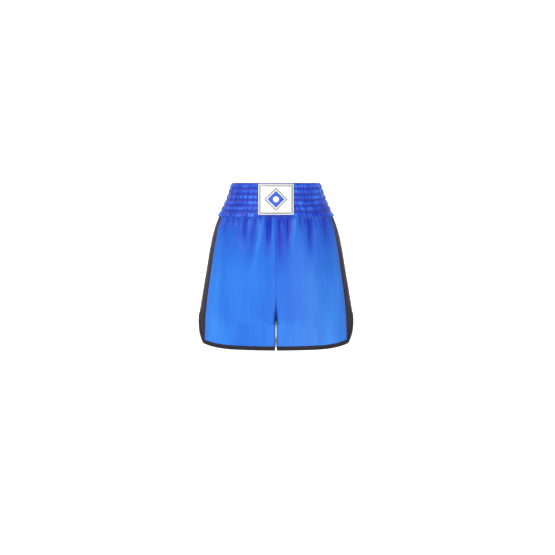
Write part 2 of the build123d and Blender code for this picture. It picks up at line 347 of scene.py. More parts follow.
def lift(side, share, z, width):
    """Displacement of the cloth along its normal, with shares as in the folds."""
    total = np.zeros(share.shape)
    for at, to, end, height, near, far in FOLDS[side]:
        t = (WAIST - z) / (WAIST - end)
        here = (t < 1.0) & (t > -0.1)
        if not here.any():
            continue
        th = np.clip(t[here], 0.0, 1.0)
        centre = at + (to - at) * th
        spread = near + (far - near) * th
        s = np.abs(share[here] - centre) * width[here] / spread
        shape = np.exp(-(s**1.6)) if height < 0 else np.exp(-(s**2))
        total[here] += FOLD_GAIN * height * (1.0 - th) ** 1.6 * (1.0 + 1.6 * th) * shape
    fade = smoothstep((WAIST - z) / 5.0) * 0.6 + 0.4
    drop = np.clip((WAIST - z) / DROP, 0.0, 1.0)
    total = total * fade + broad_waves(side, share, z) * (0.3 + 1.1 * drop)
    total *= smoothstep((1.0 - np.abs(share)) / 0.19)  # level at the side band
    seam_dip = 0.8 * np.exp(-((np.abs(share) * width / 1.5) ** 2))
    return total - seam_dip * smoothstep((z - CROTCH) / 30.0) * smoothstep((WAIST - z) / 20.0)


SIDE_BAND_HALF, SIDE_BAND_WIDENS = 24.5, 6.5  # at the waist, and more by the vent's top


def band_half(z):
    """Half width of the side band in y at height z."""
    return SIDE_BAND_HALF + SIDE_BAND_WIDENS * (WAIST - np.asarray(z, float)) / (WAIST - VENT_TOP)


VENT_FLARE = 2.2
CENTRE_CLEARANCE = 0.95  # of the cloth; what lies on it comes nearer


def cloth_points(q, z, hand, off=0.0):
    """Points of the folded cloth on one hand's side of the shorts."""
    q, z = np.broadcast_arrays(np.asarray(q, float), np.asarray(z, float))
    base, normal = surface(q, z), surface_normal(q, z)
    amount = np.empty(q.shape)
    for side in (FRONT, BACK):
        here = (q < 0) if side == FRONT else (q >= 0)
        length = girth(side, z[here])
        share = np.maximum(0.0, 1.0 - np.abs(q[here]) / length)
        amount[here] = lift(side, hand * share, z[here], length)
        flare = VENT_FLARE * smoothstep((VENT_TOP + 4 - z[here]) / 16.0)
        amount[here] += flare * np.exp(-((q[here] / 24.0) ** 2))
        on_flat = (np.abs(q[here]) / length > 1.0) & (z[here] < CROTCH)
        amount[here] = np.where(on_flat, -0.3, amount[here])
    points = base + normal * (amount + off)[..., None]
    # Below the crotch each leg stays on its own side of the centre
    nearest = smoothstep((CROTCH - z) / 24.0) * (CENTRE_CLEARANCE - 0.45 * np.minimum(off, 1.3))
    points[..., 0] = np.where(z < CROTCH, np.maximum(points[..., 0], nearest), points[..., 0])
    points[..., 0] *= hand
    return points, amount


# Painted shade of the crowded gathers: none below the first height, full at the first height plus the
# second
GATHER_SHADE_FROM, GATHER_SHADE_OVER = -245.0, 165.0


def painted_shade_value(points, amount):
    """Value for the satin's colour: its lift, which paints shade in the fold valleys and highlight on the
    ridges, plus painted shade towards the waist where the gathers crowd together.
    """
    gather_shade = smoothstep((points[..., 2] - GATHER_SHADE_FROM) / GATHER_SHADE_OVER)
    return amount * (1.0 - 0.25 * gather_shade) - 2.2 * gather_shade


# Meshes


def cell_corners(table):
    return [table[:-1, :-1], table[:-1, 1:], table[1:, 1:], table[1:, :-1]]


class Piece:
    """Collects grids of points into one mesh with a UV map in metres and a lift attribute, which the satin
    materials turn into painted shade in hollows and painted highlight on ridges.
    """

    def __init__(self, name):
        self.name = name
        self.points, self.faces, self.uvs, self.shade_lifts = [], [], [], []
        self.count = 0

    def grid(self, points, uv=None, wrap=False, shade_lifts=None, flip=False):
        """Adds rows of points. wrap joins each row's end to its start, and uv has one more column."""
        rows, cols = points.shape[:2]
        index = np.arange(rows * cols).reshape(rows, cols) + self.count
        if uv is None:
            uv = np.zeros((rows, cols + wrap, 2))
        if wrap:
            index = np.concatenate([index, index[:, :1]], axis=1)
        corners, uv_corners = cell_corners(index), cell_corners(uv)
        if flip:
            corners, uv_corners = corners[::-1], uv_corners[::-1]
        self.faces.append(np.stack(corners, axis=-1).reshape(-1, 4))
        self.uvs.append(np.stack(uv_corners, axis=-2).reshape(-1, 2))
        self.points.append(points.reshape(-1, 3))
        self.shade_lifts.append(np.zeros(rows * cols) if shade_lifts is None else shade_lifts.ravel())
        self.count += rows * cols

    def build(self, material, merge=0.0, thickness=0.0, offset=-1.0):
        """Makes the object. Points within merge become one, and thickness goes inwards."""
        points = np.concatenate(self.points) * MM
        faces = np.concatenate(self.faces)
        mesh = bpy.data.meshes.new(self.name)
        mesh.vertices.add(len(points))
        mesh.vertices.foreach_set("co", points.astype(np.float32).ravel())
        mesh.loops.add(faces.size)
        mesh.loops.foreach_set("vertex_index", faces.ravel().astype(np.int32))
        mesh.polygons.add(len(faces))
        mesh.polygons.foreach_set("loop_start", np.arange(0, faces.size, 4, dtype=np.int32))
        layer = mesh.uv_layers.new(name="UVMap")
        layer.data.foreach_set("uv", (np.concatenate(self.uvs) * MM).astype(np.float32).ravel())
        attribute = mesh.attributes.new("lift", "FLOAT", "POINT")
        attribute.data.foreach_set("value", np.concatenate(self.shade_lifts).astype(np.float32))
        mesh.update(calc_edges=True)
        mesh.validate()
        if merge > 0:
            work = bmesh.new()
            work.from_mesh(mesh)
            bmesh.ops.remove_doubles(work, verts=work.verts, dist=merge * MM)
            bmesh.ops.dissolve_degenerate(work, edges=work.edges, dist=1e-7)
            work.to_mesh(mesh)
            work.free()
        mesh.polygons.foreach_set("use_smooth", np.ones(len(mesh.polygons), dtype=bool))
        mesh.materials.append(material)
        obj = bpy.data.objects.new(self.name, mesh)
        bpy.context.scene.collection.objects.link(obj)
        if thickness:
            solid = obj.modifiers.new("thickness", "SOLIDIFY")
            solid.thickness = thickness * MM
            solid.offset = offset
            solid.use_even_offset = False
        return obj


def distance_along(path):
    return np.append(0.0, np.cumsum(np.linalg.norm(np.diff(path, axis=0), axis=1)))


def sample(path, along, at):
    """Points of a path at the given distances along it."""
    return np.stack([np.interp(at, along, column) for column in path.T], axis=1)


def smooth_path(path, size, **padding):
    """Rounds a path over a window of size points."""
    window = np.hanning(size + 2)[1:-1]
    window /= window.sum()
    padded = np.pad(path, ((size // 2, size // 2), (0, 0)), **padding)
    return np.stack([np.convolve(column, window, mode="valid") for column in padded.T], axis=1)


STITCH_STATIONS = np.array([0.0, 0.12, 0.35, 0.65, 0.88, 1.0])
STITCH_GIRTH = np.array([0.25, 0.75, 1.0, 1.0, 0.75, 0.25])
STITCH_HEIGHT = np.array([-1.0, 0.0, 1.0, 1.0, 0.0, -1.0])
STITCH_FLATNESS = 0.75


def dashes(piece, path, outward, length, gap, radius, sink=0.25):
    """Adds a row of thread stitches along a path, each a capsule that dips at its ends."""
    along = distance_along(path)
    count = max(1, int(along[-1] / (length + gap)))
    pitch = along[-1] / count
    ring = np.arange(6) / 6 * 2 * math.pi
    wide = (STITCH_GIRTH * radius)[:, None, None]
    high = (STITCH_GIRTH * radius * STITCH_FLATNESS)[:, None, None]
    for i in range(count):
        at = (i + 0.5) * pitch + (STITCH_STATIONS - 0.5) * length
        centre, up = sample(path, along, at), sample(outward, along, at)
        up = unit(up)
        across = np.cross(unit(np.gradient(centre, axis=0)), up)
        centre = centre + up * (STITCH_HEIGHT * sink)[:, None]
        sideways = across[:, None] * (np.cos(ring)[None, :, None] * wide)
        upwards = up[:, None] * (np.sin(ring)[None, :, None] * high)
        piece.grid(centre[:, None] + sideways + upwards, wrap=True, flip=True)


# Materials


def srgb(r, g, b):
    """Linear colour of an sRGB one from 0 to 255."""

    def channel(c):
        c /= 255.0
        return c / 12.92 if c <= 0.04045 else ((c + 0.055) / 1.055) ** 2.4

    return channel(r), channel(g), channel(b), 1.0


class Nodes:
    """A material with short ways to add nodes."""

    def __init__(self, name, rough, specular, sheen=0.0, aniso=0.0):
        self.material = bpy.data.materials.new(name)
        self.material.use_nodes = True
        self.tree = self.material.node_tree
        self.shader = self.tree.nodes["Principled BSDF"]
        inputs = self.shader.inputs
        inputs["Roughness"].default_value = rough
        inputs["Specular IOR Level"].default_value = specular
        inputs["Sheen Weight"].default_value = sheen
        inputs["Sheen Roughness"].default_value = 0.35
        inputs["Anisotropic"].default_value = aniso

    def put(self, socket, value):
        """Links a socket's output to another socket, or sets a plain value."""
        if isinstance(value, bpy.types.NodeSocket):
            self.tree.links.new(value, socket)
        else:
            socket.default_value = value

    def add(self, kind, inputs=None, **settings):
        node = self.tree.nodes.new(kind)
        for key, value in settings.items():
            setattr(node, key, value)
        for key, value in (inputs or {}).items():
            self.put(node.inputs[key], value)
        return node

    def math(self, operation, a, b=0.0):
        return self.add("ShaderNodeMath", {0: a, 1: b}, operation=operation).outputs[0]

    def uv(self, scale_u, scale_v, turn=0.0):
        source = self.add("ShaderNodeUVMap", uv_map="UVMap").outputs["UV"]
        inputs = {"Vector": source, "Rotation": (0, 0, turn), "Scale": (scale_u, scale_v, 1.0)}
        return self.add("ShaderNodeMapping", inputs).outputs["Vector"]

    def wave(self, vector, distortion=0.0, detail=0.0):
        inputs = {"Vector": vector, "Scale": 1.0, "Distortion": distortion, "Detail": detail}
        bands = {"wave_type": "BANDS", "bands_direction": "X", "wave_profile": "SIN"}
        return self.add("ShaderNodeTexWave", inputs, **bands).outputs["Fac"]

    def noise(self, vector, scale, detail=3.0):
        inputs = {"Vector": vector, "Scale": scale, "Detail": detail, "Roughness": 0.55}
        return self.add("ShaderNodeTexNoise", inputs).outputs["Fac"]

    def object_coords(self):
        return self.add("ShaderNodeTexCoord").outputs["Object"]

    def ramp(self, factor, stops):
        node = self.add("ShaderNodeValToRGB", {"Fac": factor})
        elements = node.color_ramp.elements
        elements[0].position, elements[0].color = stops[0]
        elements[1].position, elements[1].color = stops[-1]
        for position, colour in stops[1:-1]:
            element = elements.new(position)
            element.color = colour
        return node.outputs["Color"]

    def mix(self, factor, a, b, mode="MIX"):
        node = self.add("ShaderNodeMix", data_type="RGBA", blend_type=mode)
        for index, value in ((0, factor), (6, a), (7, b)):
            self.put(node.inputs[index], value)
        return node.outputs[2]

    def colour(self, value):
        self.put(self.shader.inputs["Base Color"], value)

    def bump(self, height, strength, distance):
        inputs = {"Height": height, "Strength": strength, "Distance": distance}
        if self.shader.inputs["Normal"].is_linked:
            inputs["Normal"] = self.shader.inputs["Normal"].links[0].from_socket
        node = self.add("ShaderNodeBump", inputs)
        self.tree.links.new(node.outputs["Normal"], self.shader.inputs["Normal"])

    def roughness(self, value):
        self.tree.links.new(value, self.shader.inputs["Roughness"])


def grey(value):
    return value, value, value, 1.0


def darker(colour, share):
    return tuple(c * share for c in colour[:3]) + (1.0,)


def satin(name, fold_shade, mid, light, rough, specular, sheen, lift_range):
    """Woven satin: long floats across, a faint twill, painted shade in the fold valleys and painted
    highlight on the ridges from the lift attribute, and a soft painted sheen that runs down the cloth.
    """
    nodes = Nodes(name, rough, specular, sheen, aniso=0.45)
    # The lift attribute picks the colour: the first colour is painted shade for sunk cloth, the last a
    # painted highlight for raised cloth
    shade_lift = nodes.add("ShaderNodeAttribute", attribute_name="lift").outputs["Fac"]
    low, high = lift_range
    spread = nodes.math("DIVIDE", nodes.math("SUBTRACT", shade_lift, low), high - low)
    # Painted sheen: soft lighter and darker bands stretched down the hanging cloth
    hanging = nodes.add("ShaderNodeMapping", {"Vector": nodes.object_coords(), "Scale": (26.0, 26.0, 4.0)})
    sheen_streaks = nodes.noise(hanging.outputs["Vector"], 1.0, 3.0)
    painted_sheen = nodes.math("MULTIPLY", nodes.math("SUBTRACT", sheen_streaks, 0.5), 0.7)
    base = nodes.ramp(nodes.math("ADD", spread, painted_sheen), [(0.0, fold_shade), (0.66, mid), (1.0, light)])
    warp = nodes.wave(nodes.uv(2600.0, 0.0), 0.6, 1.0)
    weft = nodes.wave(nodes.uv(900.0, 2100.0, 0.5), 1.2, 2.0)
    threads = nodes.math("ADD", nodes.math("MULTIPLY", warp, 0.6), nodes.math("MULTIPLY", weft, 0.4))
    shade = nodes.ramp(threads, [(0.0, grey(0.93)), (1.0, grey(1.04))])
    nodes.colour(nodes.mix(1.0, base, shade, "MULTIPLY"))
    nodes.bump(threads, 0.12, 0.00008)
    crinkle = nodes.noise(nodes.object_coords(), 85.0, 3.0)
    nodes.bump(crinkle, 0.10, 0.0006)
    rough_noise = nodes.noise(nodes.object_coords(), 40.0, 2.0)
    nodes.roughness(nodes.math("ADD", nodes.math("MULTIPLY", rough_noise, 0.14), rough - 0.07))
    return nodes.material


def woven(name, colour, rough, scale, contrast, bump, shine=0.35, sheen=0.15):
    """Tape, label or elastic: a plain weave or rib in two directions."""
    nodes = Nodes(name, rough, shine, sheen)
    across, along = nodes.wave(nodes.uv(scale, 0.0)), nodes.wave(nodes.uv(0.0, scale))
    second = nodes.wave(nodes.uv(0.0, scale, math.pi / 2))
    weave = nodes.math("MULTIPLY", across, nodes.math("ADD", along, second))
    base = nodes.ramp(weave, [(0.0, darker(colour, 1 - contrast)), (1.0, colour)])
    patches = nodes.noise(nodes.object_coords(), 30.0, 3.0)
    tint = nodes.ramp(patches, [(0.3, grey(0.93)), (0.7, grey(1.03))])
    nodes.colour(nodes.mix(1.0, base, tint, "MULTIPLY"))
    nodes.bump(weave, bump, 0.00015)
    return nodes.material


def thread(name, colour):
    """Twisted sewing thread."""
    nodes = Nodes(name, 0.42, 0.5, 0.3)
    twist = nodes.noise(nodes.object_coords(), 900.0, 2.0)
    nodes.colour(nodes.ramp(twist, [(0.3, darker(colour, 0.7)), (0.7, colour)]))
    nodes.bump(twist, 0.3, 0.0002)
    return nodes.material


EMBROIDERY_PITCH_M = 0.00045


def embroidery(name, colour, turn):
    """Satin stitch: close parallel threads."""
    nodes = Nodes(name, 0.36, 0.5, 0.2)
    rows = nodes.wave(nodes.uv(1 / EMBROIDERY_PITCH_M, 0.0, turn), 0.5, 1.0)
    nodes.colour(nodes.ramp(rows, [(0.15, darker(colour, 0.55)), (0.6, colour)]))
    nodes.bump(rows, 0.5, 0.0003)
    return nodes.material


# Each satin's painted shade, plain colour and painted highlight, and the range of lift spread over them
BLUE_SHADE_RAMP = srgb(12, 46, 176), srgb(30, 106, 208), srgb(50, 132, 226)
BAND_SHADE_RAMP = srgb(8, 20, 116), srgb(18, 60, 190), srgb(40, 122, 232)
BLACK_SHADE_RAMP = srgb(27, 20, 28), srgb(42, 32, 43), srgb(54, 43, 56)
BLUE = satin("blue_satin", *BLUE_SHADE_RAMP, 0.42, 0.34, 0.06, (-4.9, 2.4))
BAND_BLUE = satin("waistband_satin", *BAND_SHADE_RAMP, 0.42, 0.36, 0.05, (-1.6, 3.0))
BLACK = satin("black_satin", *BLACK_SHADE_RAMP, 0.46, 0.2, 0.0, (-3.0, 3.0))
TAPE = woven("black_tape", srgb(46, 38, 46), 0.6, 2400.0, 0.35, 0.4, 0.18, 0.0)
LABEL = woven("label_satin", srgb(238, 237, 236), 0.5, 1500.0, 0.06, 0.25)
CARE = woven("care_tape", srgb(244, 244, 242), 0.5, 1800.0, 0.1, 0.25)
ELASTIC = woven("elastic_rib", srgb(232, 230, 224), 0.7, 900.0, 0.25, 0.6)
NAVY_THREAD = thread("navy_thread", srgb(46, 66, 176))
BLACK_THREAD = thread("black_thread", srgb(58, 50, 58))
WHITE_THREAD = thread("white_thread", srgb(246, 245, 243))
EMBLEM_BLUE = embroidery("emblem_blue", srgb(22, 82, 214), 0.0)
BORDER_GREY = embroidery("border_grey", srgb(66, 66, 88), math.pi / 2)


# Waistband


def round_waist(share):
    """Angle at a share of the way round, from the middle of the back."""
    return math.pi / 2 + share * 2 * math.pi


def band_section(z, angles):
    """Points of the waistband's ellipse at height z and their outward directions."""
    half_width, front, back = profile(z)
    depth = np.where(np.sin(angles) > 0, back, front)
    x, y = half_width * np.cos(angles), depth * np.sin(angles)
    nx, ny = np.cos(angles) / half_width, np.sin(angles) / depth
    size = np.hypot(nx, ny)
    points = np.stack([x, y, np.broadcast_to(z, x.shape)], axis=-1)
    normals = np.stack([nx / size, ny / size, np.zeros(x.shape)], axis=-1)
    return points, normals


def value_noise(seed, x, y, period):
    """Smooth noise between -1 and 1 that repeats in x after period cells."""
    rng = np.random.default_rng(seed)
    table = rng.uniform(-1.0, 1.0, (period, 64))
    xi, yi = np.floor(x).astype(int), np.floor(y).astype(int)
    fx, fy = smoothstep(x - xi), smoothstep(y - yi)
    a, b = table[xi % period, yi % 64], table[(xi + 1) % period, yi % 64]
    c, d = table[xi % period, (yi + 1) % 64], table[(xi + 1) % period, (yi + 1) % 64]
    return (a * (1 - fx) + b * fx) * (1 - fy) + (c * (1 - fx) + d * fx) * fy


BAND_COLUMNS = 800
ROWS_PER_CHANNEL = 8
BAND_FOOT, BAND_TOP = -80.6, -1.3
BAND_INSIDE = -4.4  # the inner leaf, against the ellipse
BAND_UV_LENGTH = 640.0
COARSE_PUCKERS = 118
FINE_PUCKERS = 236
LABEL_HALF, LABEL_TOP, LABEL_BOTTOM = 41.5, -2.4, -75.4


def press_label(relief, points):
    """Flattens the relief under the label."""
    under = smoothstep((LABEL_HALF + 4.0 - np.abs(points[..., 0])) / 5.0) * (points[..., 1] < 0)
    return relief * (1 - under) + np.minimum(relief * 0.5, 1.2) * under


def band_relief(share, z):
    """How far the shirred outside stands out: share runs once round the waist."""
    wave = np.abs(np.sin(math.pi * z / CHANNEL_PITCH))
    channel = np.floor(-z / CHANNEL_PITCH)
    drift = 0.35 * value_noise(31, share * 40, z / 11.0, 40)
    coarse_at, fine_at = z / 15.0 + channel * 0.45, z / 11.0 + channel * 0.6
    coarse = value_noise(41, share * COARSE_PUCKERS + drift, coarse_at, COARSE_PUCKERS)
    fine = value_noise(43, share * FINE_PUCKERS + drift * 2, fine_at, FINE_PUCKERS)
    round_channel = wave**0.62
    fullness = 1.0 + 0.22 * value_noise(47, share * 26, channel * 1.7, 26)
    height = 2.5 * round_channel * fullness - 0.75
    puckers = (0.34 * coarse + 0.82 * fine) * (0.5 + 0.7 * round_channel)
    frill = smoothstep((WAIST + 7.0 - z) / 5.0)
    edge = 1.9 + 0.9 * coarse + 0.7 * fine
    return (height + puckers) * (1 - frill) + edge * frill


def make_waistband():
    """One sheet: the shirred outside from its foot up, the fold at the top, the inside down."""
    share = np.arange(BAND_COLUMNS) / BAND_COLUMNS
    angles = round_waist(share)
    rows, shade_lifts, lengths = [], [], []

    def add_row(z, out, shade_lift, length, rise=0.0):
        points, normals = band_section(np.full(share.shape, z), angles)
        points = points + normals * out[:, None]
        points[:, 2] += rise
        rows.append(points)
        shade_lifts.append(shade_lift)
        lengths.append(length)

    for z in np.linspace(BAND_FOOT, BAND_TOP, CHANNELS * ROWS_PER_CHANNEL + 2):
        level = np.full(share.shape, z)
        edge = float(smoothstep((BAND_TOP - z) / 4.0))
        relief = band_relief(share, level) * (0.35 + 0.65 * edge) - (1 - edge) * 0.3
        relief = press_label(relief, band_section(level, angles)[0])
        # The relief is also the lift attribute: painted shade in the grooves between channels, painted
        # highlight on the puckers
        add_row(z, relief, relief, z)
    outer = shade_lifts[-1]
    ruffle = 0.35 * value_noise(53, share * FINE_PUCKERS, np.full(share.shape, 0.5), FINE_PUCKERS)
    for i, turn in enumerate(np.linspace(0, math.pi, 7)[1:]):
        out = (outer + BAND_INSIDE) / 2 + (outer - BAND_INSIDE) / 2 * math.cos(turn)
        add_row(BAND_TOP, out, outer * 0.6, 1.0 + i, (1.1 + ruffle) * math.sin(turn))
    for z in np.linspace(-5.0, WAIST + 0.4, 5):
        level = np.full(share.shape, z / 20.0)
        coarse = value_noise(61, share * COARSE_PUCKERS, level, COARSE_PUCKERS)
        wave = abs(math.sin(math.pi * z / CHANNEL_PITCH))
        add_row(z, BAND_INSIDE - 0.5 * wave + 0.35 * coarse, 2.0 + coarse * 0.6, 8.0 - z)
    u = np.append(share, 1.0) * BAND_UV_LENGTH
    uv = np.stack(np.broadcast_arrays(u[None, :], np.array(lengths)[:, None]), axis=-1)
    piece = Piece("waistband_casing_cloth")
    piece.grid(np.array(rows), uv, wrap=True, shade_lifts=np.array(shade_lifts))
    return piece.build(BAND_BLUE, thickness=0.4)


STITCH_OUT = 0.12  # thread on the waistband, off the cloth


def make_shirring():
    """Rows of thread sunk between the channels."""
    objects = []
    share = np.linspace(0, 1, 1600)
    for row in range(1, CHANNELS):
        wander = 0.25 * value_noise(70 + row, share * 90, share * 0, 90)
        z = np.full(share.shape, -CHANNEL_PITCH * row) + wander
        points, normals = band_section(z, round_waist(share))
        relief = press_label(band_relief(share, z), points)
        path = points + normals * (relief + STITCH_OUT)[:, None]
        piece = Piece(f"shirring_row_{row}_stitches")
        dashes(piece, path, normals, 3.2, 1.0, 0.24)
        objects.append(piece.build(NAVY_THREAD))
    return objects


# Label

LABEL_MIDDLE = (LABEL_TOP + LABEL_BOTTOM) / 2
LABEL_HALF_HEIGHT = (LABEL_TOP - LABEL_BOTTOM) / 2
LABEL_OUT, LABEL_THICKNESS = 1.75, 1.0
RING_OUT, FRAME_OUT, EDGE_STITCH_OUT = 2.62, 2.64, 2.85  # feet of what lies on the patch
SIDE_POINTS = 80
LABEL_CORNERS = [(-1, 1), (1, 1), (1, -1), (-1, -1), (-1, 1)]
LABEL_SIDES = list(zip(LABEL_CORNERS, LABEL_CORNERS[1:]))
EDGE_STITCH_INSET = 1.2


def label_surface(x, z, lift_mm):
    """Point over the front of the waistband at the given x and height."""
    angle = -np.arccos(np.clip(x / profile(z)[0], -1, 1))
    points, normals = band_section(z, angle)
    ripple = 0.28 * np.sin(2 * math.pi * z / CHANNEL_PITCH + 0.7) + 0.16 * np.sin(x / 6.1 + z / 9.0)
    return points + normals * (lift_mm + ripple * 0.7)[..., None]


def make_patch():
    """The label's cloth, closed all round, with a thinner rim."""
    s, t = np.meshgrid(np.linspace(-1, 1, 90), np.linspace(-1, 1, 80))
    x, z = s * LABEL_HALF, LABEL_MIDDLE - t * LABEL_HALF_HEIGHT
    rim = np.maximum(np.abs(s), np.abs(t))
    crown = LABEL_THICKNESS * (1.0 - smoothstep((rim - 0.965) / 0.035) * 0.7)
    top, bottom = label_surface(x, z, LABEL_OUT + crown), label_surface(x, z, LABEL_OUT)
    uv = np.stack([x, z], axis=-1)
    piece = Piece("label_patch_cloth")
    piece.grid(top, uv)
    piece.grid(bottom, uv, flip=True)
    first, last = slice(0, 1), slice(-1, None)
    for axis, end in ((0, first), (0, last), (1, first), (1, last)):
        cut = (end, slice(None)) if axis == 0 else (slice(None), end)
        wall = np.concatenate([bottom[cut], top[cut]], axis=axis)
        wall_uv = np.concatenate([uv[cut], uv[cut]], axis=axis)
        piece.grid(wall, wall_uv, flip=(axis == 0) == (end == last))
    return piece.build(LABEL, merge=0.001)


def make_label():
    """The patch, its border lines and emblem in satin stitch, and the stitches round its edge."""
    patch = make_patch()
    border = Piece("label_border_embroidery")
    for inset, width in ((2.4, 1.5), (5.2, 0.8)):
        add_frame(border, inset, width)
    add_ring_shape(border, diamond_radius(26.5), diamond_radius(24.0))
    border = border.build(BORDER_GREY)
    emblem = Piece("label_emblem_embroidery")
    add_ring_shape(emblem, diamond_radius(20.0), lambda a: np.full(a.shape, 7.0))
    emblem = emblem.build(EMBLEM_BLUE)
    stitches = Piece("label_edge_stitches")
    forwards = np.tile([0.0, -1.0, 0.0], (SIDE_POINTS, 1))
    for (ax, az), (bx, bz) in LABEL_SIDES:
        x = np.linspace(ax, bx, SIDE_POINTS) * (LABEL_HALF - EDGE_STITCH_INSET)
        z = np.linspace(az, bz, SIDE_POINTS) * (LABEL_HALF_HEIGHT - EDGE_STITCH_INSET)
        path = label_surface(x, LABEL_MIDDLE + z, EDGE_STITCH_OUT)
        dashes(stitches, path, forwards, 2.0, 0.7, 0.22)
    return patch, border, emblem, stitches.build(WHITE_THREAD)


def diamond_radius(half):
    """Distance from the middle to a diamond's edge, by angle."""
    return lambda angle: half / (np.abs(np.cos(angle)) + np.abs(np.sin(angle)))


def add_loop(piece, rows, uvs):
    """Adds rows of points that close on themselves."""
    uv = np.array(uvs)
    piece.grid(np.array(rows), np.concatenate([uv, uv[:, :1]], axis=1), wrap=True, flip=True)


# Across a raised line: share of its width and height
RING_SECTION = ((0, 0), (0.03, 0.42), (0.12, 0.6), (0.5, 0.66), (0.88, 0.6), (0.97, 0.42), (1, 0))
FRAME_SECTION = ((0, 0), (0.12, 0.34), (0.5, 0.48), (0.88, 0.34), (1, 0))


def add_ring_shape(piece, outer, inner):
    """Raised satin stitch between two outlines given by their distance from the label's middle."""
    angles = np.arange(160) / 160 * 2 * math.pi
    far, near = outer(angles), inner(angles)
    rows, uvs = [], []
    for share, height in RING_SECTION:
        radius = near + (far - near) * share
        x, z = radius * np.cos(angles), LABEL_MIDDLE + radius * np.sin(angles)
        rows.append(label_surface(x, z, RING_OUT + height))
        uvs.append(np.stack([x, z], axis=-1))
    add_loop(piece, rows, uvs)


def add_frame(piece, inset, width):
    """A raised rectangular line parallel to the label's edge."""
    half_x, half_z = LABEL_HALF - inset, LABEL_HALF_HEIGHT - inset
    path = []
    for (ax, az), (bx, bz) in LABEL_SIDES:
        path += [(ax + (bx - ax) * t, az + (bz - az) * t) for t in np.linspace(0, 1, 60, endpoint=False)]
    path = np.array(path)
    rows, uvs = [], []
    for share, height in FRAME_SECTION:
        x = path[:, 0] * (half_x - width * share)
        z = LABEL_MIDDLE + path[:, 1] * (half_z - width * share)
        rows.append(label_surface(x, z, FRAME_OUT + height))
        uvs.append(np.stack([x + z, x - z], axis=-1))
    add_loop(piece, rows, uvs)


def make_care_label():
    """A folded loop of tape that hangs inside the back of the waistband."""
    rows, uvs = [], []
    top, half = -75.0, 15
    inside = float(profile(top)[2]) - 5.6
    x = np.linspace(-half, half, 24)
    loop = [(0.0, 0.0), (0.1, -9.0), (-0.6, -18.0), (-1.4, -25.0)]
    loop += [(-1.9, -26.4), (-2.5, -25.0), (-2.2, -17.0), (-1.2, -9.0), (-0.5, 0.0)]
    for i, (out, drop) in enumerate(loop):
        curl = 0.5 * (x / half) ** 2 * (-drop / 26)
        y = inside + out - curl + (x / half) ** 2 * -0.5
        rows.append(np.stack([x, y, np.full(x.shape, top + drop)], axis=-1))
        uvs.append(np.stack([x, np.full(x.shape, i * 6.0)], axis=-1))
    piece = Piece("care_label_cloth")
    piece.grid(np.array(rows), np.array(uvs))
    obj = piece.build(CARE, thickness=0.18, offset=0.0)
    smooth = obj.modifiers.new("smooth", "SUBSURF")
    smooth.levels = smooth.render_levels = 1
    return obj


# Edge of the leg: hem, corner and vent, as a path in girth and height

VENT_ROUND = 2.0
TAPE_WIDTH = 10.0


def vent_depth(z):
    """|y| of the flap's edge at height z."""
    t = np.clip((VENT_TOP - np.asarray(z, float)) / (VENT_TOP - CORNER_Z), 0.0, 1.0)
    return VENT_ROUND + (CORNER_DEPTH - VENT_ROUND) * (t - 0.98 * t * (1.0 - t))


def hem_height(y):
    """Height of the hem where the outer surface has the given |y|."""
    t = np.clip((np.asarray(y, float) - CORNER_DEPTH) / (HEM_LEVEL_FROM - CORNER_DEPTH), 0.0, 1.0)
    return CORNER_Z + (HEM - CORNER_Z) * (1.0 - (1.0 - t) ** 1.5)


def edge_path(side):
    """From the inseam along the hem, round the corner and up the vent, for one side of the left leg."""
    length = float(girth(side, HEM))
    corner_q = float(q_at_depth(side, CORNER_DEPTH, CORNER_Z))
    q = np.linspace(side * (length + INNER_FLAT), corner_q, 420)
    points = surface(q, np.full(q.shape, HEM))
    z = np.where(np.abs(points[:, 0]) > 60, hem_height(np.abs(points[:, 1])), HEM)
    vent_z = np.linspace(CORNER_Z, VENT_TOP, 110)[1:]
    vent_q = q_at_depth(side, vent_depth(vent_z), vent_z)
    path = np.stack([np.append(q, vent_q), np.append(z, vent_z)], axis=1)
    along = distance_along(path)
    path = sample(path, along, np.arange(0, along[-1], 1.0))
    return smooth_path(path, 13, mode="reflect", reflect_type="odd")


EDGE = {side: edge_path(side) for side in (FRONT, BACK)}


def whole_edge():
    """Front inseam to back inseam, over the top of the vent, and the directions into the cloth."""
    front, back = EDGE[FRONT], EDGE[BACK]
    top = []
    for turn in np.linspace(-math.pi / 2, math.pi / 2, 9)[1:-1]:
        top.append((VENT_ROUND * math.sin(turn), VENT_TOP + VENT_ROUND * math.cos(turn)))
    path = np.concatenate([front, top, back[::-1]])
    along = distance_along(path)
    path = sample(path, along, np.linspace(0, along[-1], int(along[-1] / 1.25)))
    heading = unit(smooth_path(np.gradient(path, axis=0), 7, mode="edge"))
    return path, np.stack([-heading[:, 1], heading[:, 0]], axis=1)


EDGE_PATH, EDGE_INWARD = whole_edge()

# The folded tape, once round its outside and back inside: distance into the cloth, height off it
TAPE_SECTION = [
    (TAPE_WIDTH, 0.15), (9.7, 0.5), (8.6, 0.62), (7.6, 0.5), (5.0, 0.68), (2.5, 0.72), (0.9, 0.62),
    (0.1, 0.3), (-0.25, -0.15), (0.1, -0.65), (0.9, -1.0), (3.0, -1.1), (7.0, -1.0), (9.6, -0.9),
    (9.9, -0.6), (9.6, -0.48), (1.2, -0.48), (1.2, 0.08), (9.6, 0.08),
]
TAPE_STITCH_IN, TAPE_STITCH_OFF = 8.2, 0.62


